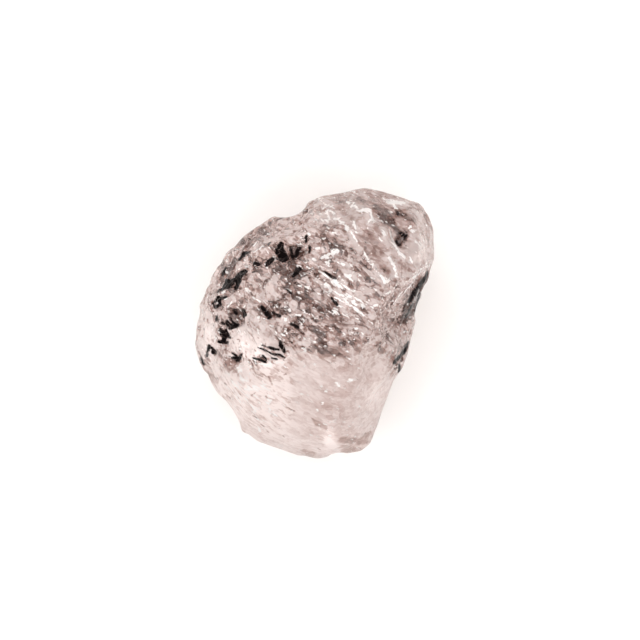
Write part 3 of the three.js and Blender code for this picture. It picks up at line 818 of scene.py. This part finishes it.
def added(tree, kind, inputs=(), **settings):
    """A new node with some settings. Each input is a plain value or another node's output."""
    node = tree.nodes.new("ShaderNode" + kind)
    for name, value in settings.items():
        setattr(node, name, value)
    for name, value in dict(inputs).items():
        if isinstance(value, bpy.types.NodeSocket):
            tree.links.new(value, node.inputs[name])
        else:
            node.inputs[name].default_value = value
    return node


def reading(tree, name):
    """The value of a mark."""
    return added(tree, "Attribute", attribute_name=name).outputs["Fac"]


def combined(tree, operation, *values):
    """One arithmetic step on numbers and other nodes' outputs."""
    return added(tree, "Math", enumerate(values), operation=operation).outputs["Value"]


def vector_step(tree, operation, *values):
    """One step of vector arithmetic, as its node's outputs."""
    return added(tree, "VectorMath", enumerate(values), operation=operation).outputs


def noise(tree, place, per_metre, detail, roughness):
    """Noise from about 0.2 to 0.8 with so many lumps to a metre."""
    inputs = {"Vector": place, "Scale": per_metre, "Detail": detail, "Roughness": roughness}
    return added(tree, "TexNoise", inputs).outputs["Fac"]


def edge(tree, value, low, high):
    """0 below low and 1 above high, with a soft step between."""
    inputs = {"Value": value, "From Min": low, "From Max": high}
    return added(tree, "MapRange", inputs, interpolation_type="SMOOTHSTEP").outputs["Result"]


def grains(tree, place, per_metre):
    """For the grains that fill space, so many to a metre: a chance from 0 to 1 for each, and a flat facet for
    each, tilted its own way. The facet's height is the place's distance from the grain's middle, times a
    direction that the grain's chances give."""
    grain = added(tree, "TexVoronoi", {"Vector": place, "Scale": per_metre})
    chance = added(tree, "SeparateColor", {"Color": grain.outputs["Color"]}).outputs["Red"]
    offset = vector_step(tree, "SUBTRACT", place, grain.outputs["Position"])["Vector"]
    lean = vector_step(tree, "SUBTRACT", grain.outputs["Color"], (0.5, 0.5, 0.5))["Vector"]
    return chance, vector_step(tree, "DOT_PRODUCT", offset, lean)["Value"]


def seam_distance(tree, place, per_metre):
    """How far a place is from the seam between the same grains."""
    inputs = {"Vector": place, "Scale": per_metre}
    return added(tree, "TexVoronoi", inputs, feature="DISTANCE_TO_EDGE").outputs["Distance"]


def drawn_out(tree, place, turn, length):
    """Places turned about the vertical and drawn out, so that lumps of noise come out that much longer."""
    inputs = {"Vector": place, "Rotation": (0, 0, turn), "Scale": (length, 1, 1)}
    return added(tree, "Mapping", inputs, vector_type="TEXTURE").outputs["Vector"]


def weighed(tree, pattern, weight, rest=0.0):
    """How far a pattern is from its middle, 0.5, times a weight, plus the rest."""
    return combined(tree, "MULTIPLY_ADD", combined(tree, "SUBTRACT", pattern, 0.5), weight, rest)


def blended(tree, share, first, second):
    """A colour between two."""
    return added(tree, "Mix", {"Factor": share, 6: first, 7: second}, data_type="RGBA").outputs[2]


# %% [markdown]
# ## Patterns that fill the stone
# The marks say where, and patterns much finer than the mesh say how: clouds a millimetre wide, specks, long
# streaks along the grain and along the edges, flakes, and two sizes of grain. They are noise and Voronoi
# cells in Object coordinates, so they run through the stone without a seam and look the same from every
# side. The grains are shaken before they are cut, or they would be too straight.

# %% Noise and grains
CLOUDS_PER_METRE, SPECKS_PER_METRE, STREAKS_PER_METRE, SHAKES_PER_METRE = 800, 2200, 1500, 1800
COARSE_GRAINS, FINE_GRAINS, FLECKS_PER_METRE = 2500, 5200, 3200
EDGE_STREAK_TURN = math.radians(55)
GRAIN_DRAWN, STREAK_DRAWN, FLECK_DRAWN = 2.1, 5.0, 2.6
SHAKE = 0.0004

morganite, tree = new_material("morganite")
place = added(tree, "TexCoord").outputs["Object"]
along_place = drawn_out(tree, place, GRAIN_TURN, GRAIN_DRAWN)
streak_place = drawn_out(tree, place, GRAIN_TURN, STREAK_DRAWN)
edge_place = drawn_out(tree, place, EDGE_STREAK_TURN, STREAK_DRAWN)
fleck_place = drawn_out(tree, place, GRAIN_TURN, FLECK_DRAWN)
clouds = noise(tree, place, CLOUDS_PER_METRE, detail=5.0, roughness=0.6)
specks = noise(tree, along_place, SPECKS_PER_METRE, detail=6.0, roughness=0.75)
streaks = noise(tree, streak_place, STREAKS_PER_METRE, detail=4.0, roughness=0.7)
edge_streaks = noise(tree, edge_place, STREAKS_PER_METRE, detail=4.0, roughness=0.7)
fleck_pattern = noise(tree, fleck_place, FLECKS_PER_METRE, detail=3.0, roughness=0.6)
shaker = added(tree, "TexNoise", {"Vector": along_place, "Scale": SHAKES_PER_METRE}).outputs["Color"]
shaken_place = vector_step(tree, "MULTIPLY_ADD", shaker, (SHAKE, SHAKE, SHAKE), along_place)["Vector"]
coarse, coarse_facets = grains(tree, shaken_place, COARSE_GRAINS)
fine, fine_facets = grains(tree, shaken_place, FINE_GRAINS)
seams = seam_distance(tree, shaken_place, COARSE_GRAINS)
print("patterns:", len(tree.nodes), "nodes")

# %% [markdown]
# ## Marks and patterns together
# The depth of the stain is the tea mark plus all the patterns, each less its middle value, times the mottled
# mark. Where the painted black shade and the white of crushed stone and painted glints have an edge, the
# patterns bite into it: the painted black is there when its mark beats the specks and fine grains together,
# and it thins out along the seams between the coarse ones. A share of 1 means that the painted black or the
# white hides what lies under it.

# %% Depth of stain, painted shade share and white share
CLOUD_MOTTLE, SPECK_MOTTLE, STREAK_MOTTLE, GRAIN_MOTTLE = 1.3, 1.4, 1.3, 1.7
SHADE_SPECK_BITE, GRAIN_BITE, SPECKLED = 0.935, 0.765, (0.38, 0.62)
SHADE_EDGE, SEAM = (0.0, 0.06), (0.0, 0.012)
WHITE_SPECK_BITE, WHITE_GRAIN_BITE, WHITE_EDGE, FLECK_EDGE = 2.0, 0.9, (1.46, 1.56), (0.66, 0.69)

turning = added(tree, "Mix", {"Factor": reading(tree, "rim"), 2: streaks, 3: edge_streaks}).outputs[0]
tone = combined(tree, "MULTIPLY", combined(tree, "ADD", coarse, fine), 0.5)
mottle = weighed(tree, clouds, CLOUD_MOTTLE, weighed(tree, specks, SPECK_MOTTLE))
mottle = weighed(tree, turning, STREAK_MOTTLE, weighed(tree, tone, GRAIN_MOTTLE, mottle))
depth = combined(tree, "MULTIPLY_ADD", mottle, reading(tree, "mottled"), reading(tree, "tea"))
grain_bite = combined(tree, "MULTIPLY", fine, GRAIN_BITE)
bite = combined(tree, "MULTIPLY_ADD", edge(tree, specks, *SPECKLED), SHADE_SPECK_BITE, grain_bite)
beaten = combined(tree, "SUBTRACT", reading(tree, "painted_shade"), bite)
shade_share = combined(tree, "MULTIPLY", edge(tree, beaten, *SHADE_EDGE), edge(tree, seams, *SEAM))
crushed_and_glint_bitten = combined(tree, "MULTIPLY_ADD", specks, WHITE_SPECK_BITE, reading(tree, "crushed_and_glint"))
crushed_and_glint_bitten = weighed(tree, fine, WHITE_GRAIN_BITE, crushed_and_glint_bitten)
chip_and_glint_share = edge(tree, crushed_and_glint_bitten, *WHITE_EDGE)
flecked = edge(tree, combined(tree, "ADD", fleck_pattern, reading(tree, "fleck")), *FLECK_EDGE)
white_share = combined(tree, "MAXIMUM", chip_and_glint_share, flecked)
print("with the marks:", len(tree.nodes), "nodes")

# %% [markdown]
# ## The body and its rind
# The ramp runs from pale through pink to brown. Crushed places and painted glints are white, and the painted
# shade is black. Where the black is painted, the Specular Tint goes black with it, so it loses its mirror
# shine. The facets of the grains are no larger than the mesh's triangles, so they are a Bump, which tilts
# the surface without moving it. How strongly the beryl bends light and what it soaks up are the same
# everywhere, so they are single values.

# %% Morganite body
BERYL_IOR = 1.58
PINK, PINK_DEPTH = (0.8, 0.62, 0.58, 1), 38.0
RIND_COLOURS = [(0.94, 0.82, 0.785, 1), (0.5, 0.34, 0.3, 1), (0.095, 0.053, 0.044, 1)]
# The painted shade is nearly black; crushed stone and painted glints are white.
SHADE_BLACK, CRUSHED_AND_GLINT_WHITE, WHITE = (0.006, 0.004, 0.004, 1), (0.88, 0.84, 0.82, 1), (1.0, 1.0, 1.0, 1)
WHITE_COVER, ROUGHENED, FACET_TILT = 0.85, 0.3, 0.5

ramp = added(tree, "ValToRGB", {"Fac": depth})
ramp.color_ramp.elements.new(0.5)
for stop, colour in zip(ramp.color_ramp.elements, RIND_COLOURS):
    stop.color = colour
rind_colour = blended(tree, white_share, ramp.outputs["Color"], CRUSHED_AND_GLINT_WHITE)
cover = combined(tree, "MAXIMUM", shade_share, combined(tree, "MULTIPLY", white_share, WHITE_COVER))
cover = combined(tree, "MAXIMUM", cover, reading(tree, "milk"))
covered = combined(tree, "ADD", white_share, shade_share)
bump = added(tree, "Bump", {
    "Distance": 1.0,
    "Strength": combined(tree, "MULTIPLY", reading(tree, "mottled"), FACET_TILT),
    "Height": combined(tree, "ADD", coarse_facets, fine_facets),
})
body = added(tree, "BsdfPrincipled", {
    "IOR": BERYL_IOR,
    "Base Color": blended(tree, shade_share, rind_colour, SHADE_BLACK),
    "Specular Tint": blended(tree, shade_share, WHITE, SHADE_BLACK),
    "Transmission Weight": combined(tree, "SUBTRACT", 1.0, cover),
    "Roughness": combined(tree, "MULTIPLY_ADD", covered, ROUGHENED, reading(tree, "frost")),
    "Normal": bump.outputs["Normal"],
})
tint = added(tree, "VolumeAbsorption", {"Color": PINK, "Density": PINK_DEPTH})
added(tree, "OutputMaterial", {"Surface": body.outputs["BSDF"], "Volume": tint.outputs["Volume"]})
mesh.materials.append(morganite)
print("morganite:", len(tree.nodes), "nodes")

# %% [markdown]
# ## Floor
# A clear stone shows what lies under it, so the floor is part of its look: a plain, pale, matt sheet, with no
# shine of its own.

# %% Floor sheet
FLOOR_REACH, FLOOR_DROP = 2.0, 0.01 * MM
FLOOR_PAPER = (0.97, 0.95, 0.93, 1)

paper, paper_tree = new_material("paper")
sheet = added(paper_tree, "BsdfDiffuse", {"Color": FLOOR_PAPER})
added(paper_tree, "OutputMaterial", {"Surface": sheet.outputs["BSDF"]})
floor_mesh = bpy.data.meshes.new("floor")
corners = [(a * FLOOR_REACH, b * FLOOR_REACH, -FLOOR_DROP) for a, b in ((-1, -1), (1, -1), (1, 1), (-1, 1))]
floor_mesh.from_pydata(corners, [], [(0, 1, 2, 3)])
floor_mesh.materials.append(paper)
in_scene("floor", floor_mesh)
print("floor:", 2 * FLOOR_REACH, "m wide")

# %% [markdown]
# ## Light
# A clear stone has hardly any colour of its own until light comes back through it. A ring of eight soft
# panels lights the white floor from all round, and the floor lights the stone from below, so the foot glows.
# A panel straight overhead would do that too, but every level facet would mirror it and lay a grey veil over
# the painted black shade. The panels to the south-west are a little stronger, which makes that flank the
# brightest, and painted light on the west flank adds to it.
# What the broken crest mirrors between the panels is the dim room.

# %% Ring of soft panels and dim room
PANEL_WATTS = (0.92, 0.84, 0.96, 1.0, 1.12, 1.2, 1.14, 1.04)
PANEL_SIZE, RING_RADIUS, RING_HEIGHT = 0.4, 0.42, 0.45
ROOM = (0.05, 0.04, 0.036, 1)

for number, watts in enumerate(PANEL_WATTS):
    turn = number * 2 * math.pi / len(PANEL_WATTS)
    lamp = bpy.data.lights.new(f"soft_panel_{number}", "AREA")
    lamp.size = PANEL_SIZE
    lamp.energy = watts
    panel = in_scene(f"soft_panel_{number}", lamp)
    panel.location = (RING_RADIUS * math.cos(turn), RING_RADIUS * math.sin(turn), RING_HEIGHT)
    panel.rotation_euler = Vector(panel.location).to_track_quat("Z", "Y").to_euler()
room = bpy.data.worlds.new("room")
room.use_nodes = True
room.node_tree.nodes["Background"].inputs["Color"].default_value = ROOM
bpy.context.scene.world = room
print("panels:", len(PANEL_WATTS), "from east to north, watts:", PANEL_WATTS)

# %% [markdown]
# ## Camera
# The crystal lies on its back, so the camera looks straight down on it, with a long lens that keeps the
# outline free of perspective. The width of what it sees is fixed first, in millimetres, and the distance
# follows from the lens.

# %% Camera
VIEW_WIDTH = 50.56
LENS, SENSOR = 150.0, 36.0
AIM = (0.474, 0.356, 7.0)

eye = bpy.data.cameras.new("camera")
eye.lens = LENS
eye.sensor_width = SENSOR
eye.clip_start = 0.01
camera = in_scene("camera", eye)
camera.location = Vector((AIM[0], AIM[1], AIM[2] + VIEW_WIDTH * LENS / SENSOR)) * MM
bpy.context.scene.camera = camera
print("camera height, mm:", round(camera.location.z / MM, 1))

# %% [markdown]
# ## How light is followed and shown
# Inside a clear stone light bounces many times before it leaves, and a path that is cut short is black. So
# Cycles gets more bounces than usual. The Standard view shows colours as they are, without a film curve.

# %% Light paths and view
BOUNCES = 20

scene = bpy.context.scene
scene.cycles.max_bounces = BOUNCES
scene.cycles.transmission_bounces = BOUNCES
scene.view_settings.view_transform = "Standard"
print("bounces:", BOUNCES)
